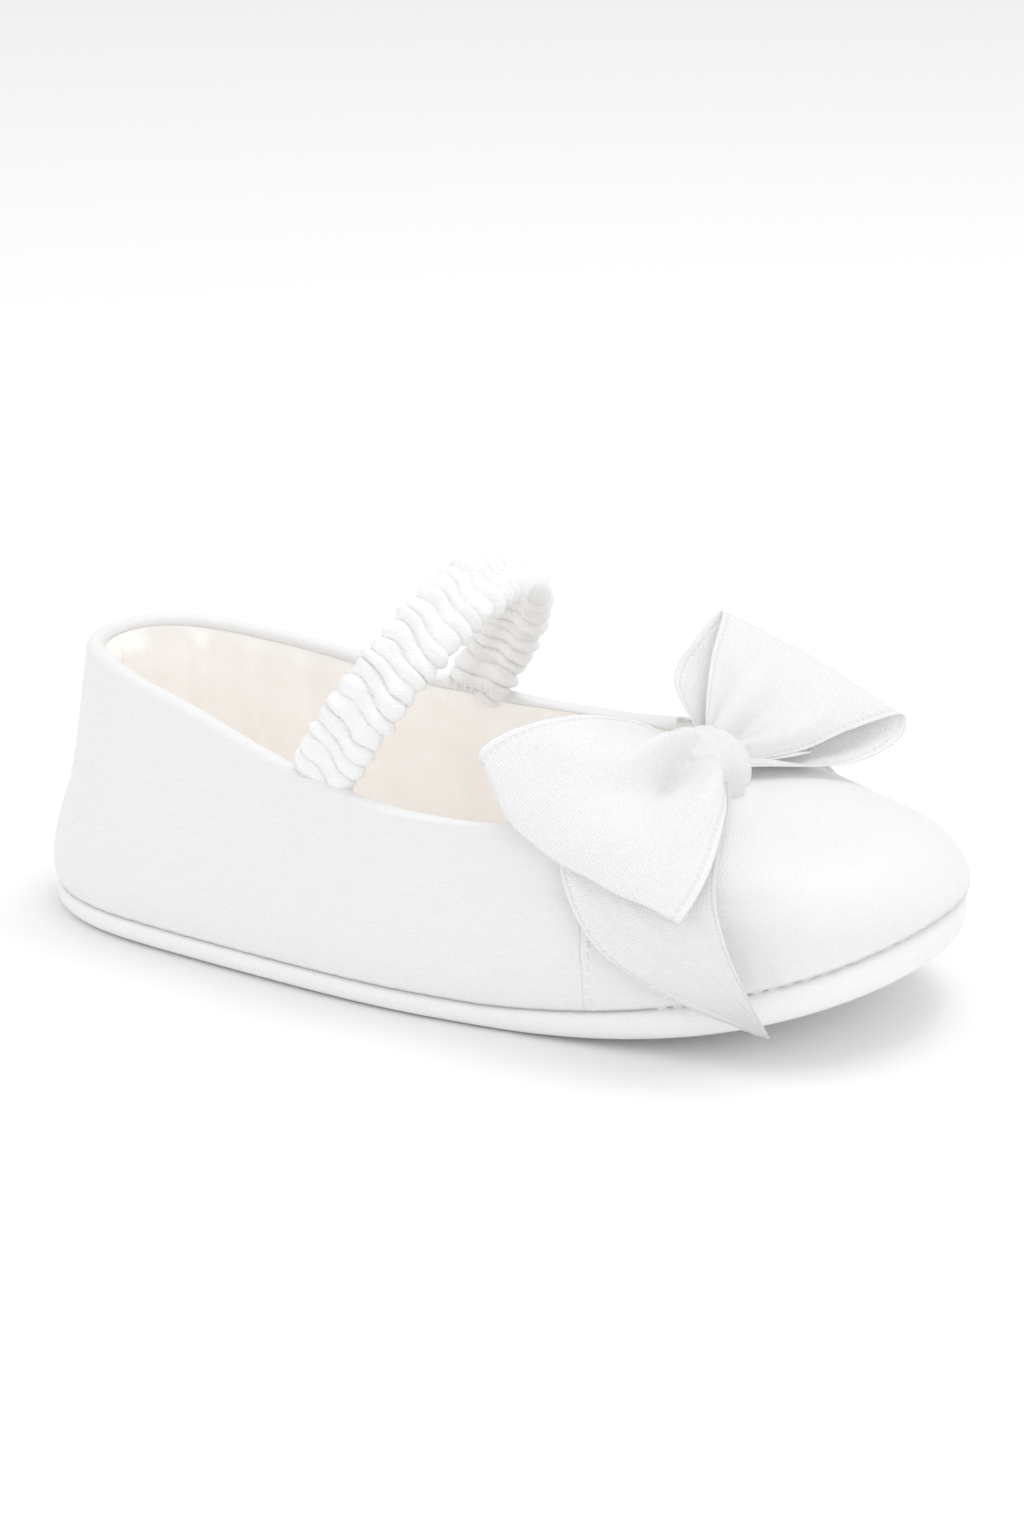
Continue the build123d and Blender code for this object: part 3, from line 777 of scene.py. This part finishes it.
def ribbon_sheet(name, guides, rows, cols, pleats, depth, seed,
                 reach=9.0, both_ends=True, hollows=(), out=1):
    """A ribbon over guide lines: each runs along the ribbon, and together they cross its width."""
    lines = np.array([through(g, rows) for g in guides])
    grid = np.array([through(lines[:, r], cols) for r in range(rows)])
    n = normals(grid)
    along = lengths(grid, 0)
    across = np.linspace(-0.5, 0.5, cols)[None]
    start = np.exp(-((along / reach) ** 2))
    finish = np.exp(-(((along[-1][None] - along) / reach) ** 2)) if both_ends else 0
    gather = depth * (start + finish) * np.cos(2 * math.pi * pleats * across + seed + 0.25 * along / reach)
    slow = 0.25 * ripple(along * 0.25, across * 9, seed)
    share = along / along[-1]
    for u, v, du, dv, height in hollows:
        slow = slow + out * height * np.exp(-((share - u) / du) ** 2 - ((across + 0.5 - v) / dv) ** 2)
    grid = grid + n * (gather + slow)[..., None]
    uv = np.stack([across.repeat(rows, 0) * RIBBON_WIDTH, along.mean(1)[:, None].repeat(cols, 1)], -1)
    obj = mesh(name, grid, uv)
    thicken(obj, RIBBON_THICK, 0.0)
    return obj, float(along[-1].mean())


LOOP_HOLLOWS = {  # (along, across, reach along, reach across, height) of each dent or ridge
    "right": ((0.16, 0.62, 0.08, 0.1, -3.6), (0.27, 0.55, 0.1, 0.14, -1.8), (0.13, 0.4, 0.09, 0.07, 1.3),
              (0.2, 0.88, 0.12, 0.08, 2.3), (0.3, 0.18, 0.12, 0.16, 1.0)),
    "left": ((0.12, 0.58, 0.1, 0.12, -1.8), (0.22, 0.3, 0.14, 0.12, 0.7), (0.2, 0.85, 0.12, 0.1, 0.8),
             (0.75, 0.8, 0.16, 0.2, 1.2)),
}
LOOP_GUIDES = {
    "right": [
        [(26.8, -3.6, 31.0), (22.0, -8.6, 34.6), (17.2, -15, 36.2), (12.6, -20.6, 35.8), (10.0, -24.3, 33.8),
         (11.6, -22.5, 32.0), (16.5, -14.5, 30.6), (26.8, -3.6, 29.2)],
        [(27.0, -4.4, 31.9), (24.4, -10, 34.0), (20.6, -17, 33.6), (16.4, -23.2, 30.2), (15.4, -26.0, 26.6),
         (17.0, -24.0, 25.6), (21.0, -14.5, 27.4), (27.2, -4.4, 28.8)],
        [(29.2, -4.4, 31.6), (29.0, -11, 32.2), (28.4, -18, 31.0), (27.4, -24.4, 26.6), (26.6, -27.6, 21.9),
         (27.0, -25.4, 21.6), (27.6, -15.5, 26.0), (29.0, -4.4, 28.4)],
        [(31.4, -4.0, 29.6), (34.8, -10.2, 28.9), (37.6, -17, 27.4), (38.8, -24.0, 23.2), (37.6, -28.6, 19.0),
         (36.6, -27.0, 19.4), (34.8, -16.5, 25.2), (31.2, -4.0, 28.2)],
    ],
    "left": [
        [(27.4, 0.6, 31.0), (23.4, 10.6, 33.0), (21.4, 17, 36.2), (20.3, 22.2, 39.7), (18.2, 18.8, 36.6),
         (18.0, 13.2, 32.8), (27.4, 0.6, 29.6)],
        [(28.2, 0.6, 31.8), (28.4, 11, 33.0), (28.4, 17, 35.4), (28.2, 22.6, 36.6), (26.6, 20.0, 33.2),
         (26.4, 13.2, 29.8), (28.0, 0.6, 28.8)],
        [(30.2, 0.6, 30.9), (32.8, 11, 30.2), (34.9, 17, 32.0), (36.4, 22.6, 33.2), (36.2, 20.6, 29.4),
         (34.2, 13.4, 27.2), (29.6, 0.6, 28.4)],
        [(32.2, 0.6, 28.6), (35.6, 11, 27.2), (39.4, 17, 28.6), (44.0, 22.2, 29.7), (44.4, 20.6, 27.2),
         (41.0, 14.2, 26.0), (32.0, 0.6, 27.8)],
    ],
}
TAIL_GUIDES = [
    [(27.0, -3.6, 28.6), (23.2, -12, 28.0), (20.3, -20.2, 26.0), (20.9, -25.4, 21.4),
     (26.4, -27.9, 14.0), (36.5, -27.8, 8.9), (47.4, -26.8, 5.9)],
    [(30.0, -3.6, 28.2), (29.8, -12, 27.2), (29.4, -20.4, 24.6), (30.0, -25.6, 20.0),
     (34.4, -27.8, 14.2), (40.5, -27.8, 9.8), (47.5, -26.7, 5.9)],
    [(32.6, -3.8, 27.6), (36.2, -12, 26.8), (38.4, -20.0, 24.6), (40.0, -24.6, 20.0),
     (42.8, -26.6, 14.4), (45.7, -26.9, 9.4), (47.6, -26.6, 5.9)],
]


def make_loop(side):
    """One loop of the bow, folded back on itself and pinched into the knot."""
    out, seed = (1, 3.0) if side == "left" else (-1, 5.0)
    loop, run = ribbon_sheet(f"bow_loop_{side}_ribbon", LOOP_GUIDES[side], 150, 80, 2.2, 0.6, seed,
                             hollows=LOOP_HOLLOWS[side], out=out)
    loop.data.materials.append(RIBBON)
    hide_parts(f"bow_loop_{side}")
    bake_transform(loop)


def make_tail(side):
    """One tail, from the knot over the vamp's edge and down the side to its slanted end."""
    out = -1 if side == "left" else 1
    back = 5.0 if side == "left" else 0.0
    guides = [[(x - back * blend01((-12 - y) / 9), y * out, z) for x, y, z in guide] for guide in TAIL_GUIDES]
    tail, run = ribbon_sheet(f"bow_tail_{side}_ribbon", guides, 110, 60, 2.0, 0.4, 8.0,
                             reach=8.0, both_ends=False)
    tail.data.materials.append(RIBBON)
    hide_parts(f"bow_tail_{side}", f"bow_tail_root_{side}")
    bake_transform(tail)


def make_knot():
    """The band that wraps the bow's middle, with soft folds along it."""
    rows, cols = 90, 120
    lat = np.linspace(-math.pi / 2, math.pi / 2, rows)[:, None]
    lon = np.linspace(0, 2 * math.pi, cols, endpoint=False)[None]
    flat = np.abs(np.cos(lat)) ** 0.55
    across = np.sin(lat) * 5.6
    swell = flat * (1 + 0.07 * np.cos(lat * 7 + 0.6) + 0.03 * np.sin(lon * 3 + lat * 4))
    x = 5.5 * swell * np.sign(np.cos(lon)) * np.abs(np.cos(lon)) ** 0.85
    z = 5.6 * swell * np.sign(np.sin(lon)) * np.abs(np.sin(lon)) ** 0.85
    x = x * (1 + 0.08 * np.sin(lat))
    y = across + 0.5 * np.sin(lon + 0.5) + 0 * lon
    grid = np.stack([x, y, z], -1)
    lean = np.array(Matrix.Rotation(BOW_SLOPE, 3, "Y"))
    grid = grid @ lean.T + KNOT - (0.3, 3.2, 3.5)
    round_ = lengths(np.concatenate([grid, grid[:, :1]], 1), 1)[:, :-1]
    uv = np.stack([np.linspace(-12, 12, rows)[:, None].repeat(cols, 1), round_], -1)
    knot = mesh("bow_knot_ribbon", grid, uv, closed=True, flip=True)
    dress(knot, RIBBON, "ribbon", "shoe", "bow_knot")


# ------------------------------------------------------------------ stitches

def toe_stitches():
    """The dashes that close the sole round the toe, lying in the groove."""
    s, side = columns()
    ring = rim(s, side, 0.85, feather)
    gone = lengths(ring[None], 1)[0]
    places, last = [], -9.0
    for k in range(1, len(ring) - 1):
        if ring[k, 0] > 33 and gone[k] - last > 1.8:
            places.append((ring[k], ring[k + 1] - ring[k - 1]))
            last = gone[k]
    piece = capsules("sole_seam_thread", places, 0.24, 1.25)
    dress(piece, THREAD, "thread", "shoe", "sole_seam_stitches")


def side_stitches(kept):
    """Top stitching in front of the vamp's seam, on both sides."""
    x, z = kept[..., 0], kept[..., 2]
    offset = 0.8
    from_seam = (x + SEAM_SLOPE * z - SEAM_FOOT) / math.hypot(1, SEAM_SLOPE) - offset
    for name, wanted in (("left", 1), ("right", -1)):
        places, last = [], -9.0
        half = slice(0, SIDE_COLUMNS) if wanted < 0 else slice(SIDE_COLUMNS, kept.shape[1])
        line = []
        for r in range(2, kept.shape[0] - 1):
            near = int(np.argmin(np.abs(from_seam[r, half])))
            line.append(kept[r, half][near])
        line = np.array(line)
        gone = lengths(line, 0)
        for k in range(1, len(line) - 1):
            if gone[k] - last > 1.25 and abs(gone[-1] - gone[k]) > 1.0:
                direction = line[k + 1] - line[k - 1]
                places.append((line[k] + (0, wanted * 0.03, 0), direction))
                last = gone[k]
        piece = capsules(f"vamp_seam_thread_{name}", places, 0.14, 0.8)
        dress(piece, THREAD, "thread", "shoe", f"vamp_seam_stitches_{name}")


def finish_hidden_parts():
    """CAD parts that stay as they are get their own grain."""
    plan = {"sole_pad": FOAM, "insole_foam": FOAM, "insole_board": BOARD, "strap_elastic": ELASTIC,
            "bow_tack_thread": THREAD}
    for name, finish in plan.items():
        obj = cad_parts[name]
        obj.data.materials.clear()
        obj.data.materials.append(finish)


# ------------------------------------------------------------------ studio

def make_floor():
    made, tree, shader = material("floor_white")
    shader.inputs["Base Color"].default_value = (0.95, 0.95, 0.95, 1)
    shader.inputs["Roughness"].default_value = 0.8
    bpy.ops.mesh.primitive_plane_add(size=8.0, location=(0, 0, -0.0001))
    floor = bpy.context.object
    floor.name = "floor"
    floor.data.materials.append(made)


def area_light(name, place, aim, size, power):
    light = bpy.data.lights.new(name, "AREA")
    light.shape, light.size, light.energy = "SQUARE", size, power
    obj = bpy.data.objects.new(name, light)
    obj.location = place
    obj.rotation_mode = "QUATERNION"
    obj.rotation_quaternion = (Vector(aim) - Vector(place)).to_track_quat("-Z", "Y")
    bpy.context.scene.collection.objects.link(obj)


def make_studio():
    make_floor()
    area_light("top_box", (0.12, 0.2, 0.75), (0, 0, 0.02), 0.4, 1.5)
    area_light("left_box", (-0.7, -0.35, 0.45), (0, 0, 0.02), 0.5, 0.7)
    area_light("right_box", (0.65, -0.55, 0.4), (0, 0, 0.02), 0.5, 0.9)
    world = bpy.data.worlds.new("studio")
    bpy.context.scene.world = world
    world.use_nodes = True
    back = world.node_tree.nodes["Background"]
    back.inputs["Color"].default_value = (1, 1, 1, 1)
    back.inputs["Strength"].default_value = 0.84
    bpy.context.scene.view_settings.view_transform = "Standard"


def make_camera():
    turn, tilt, reach = math.radians(25.8), math.radians(18.28), 0.52457
    back = Vector((math.sin(turn) * math.cos(tilt), -math.cos(turn) * math.cos(tilt), math.sin(tilt)))
    camera = bpy.data.cameras.new("camera")
    camera.sensor_width, camera.lens = 36.0, 101.76
    camera.clip_start = 0.01
    obj = bpy.data.objects.new("camera", camera)
    obj.location = Vector((0.00253, 0, 0.02351)) + back * reach
    obj.rotation_mode = "QUATERNION"
    obj.rotation_quaternion = (-back).to_track_quat("-Z", "Y")
    bpy.context.scene.collection.objects.link(obj)
    bpy.context.scene.camera = obj


kept = make_upper()
sole = dress(make_sole(), SOLE_SATIN_PAINTED_LIGHTER, "sole_satin", "shoe", "sole_cover")
dress(make_footbed(), SATEEN, "lining", "shoe", "insole_sock")
make_strap()
make_knot()
for side in ("left", "right"):
    make_loop(side)
    make_tail(side)
toe_stitches()
side_stitches(kept)
finish_hidden_parts()
make_studio()
make_camera()
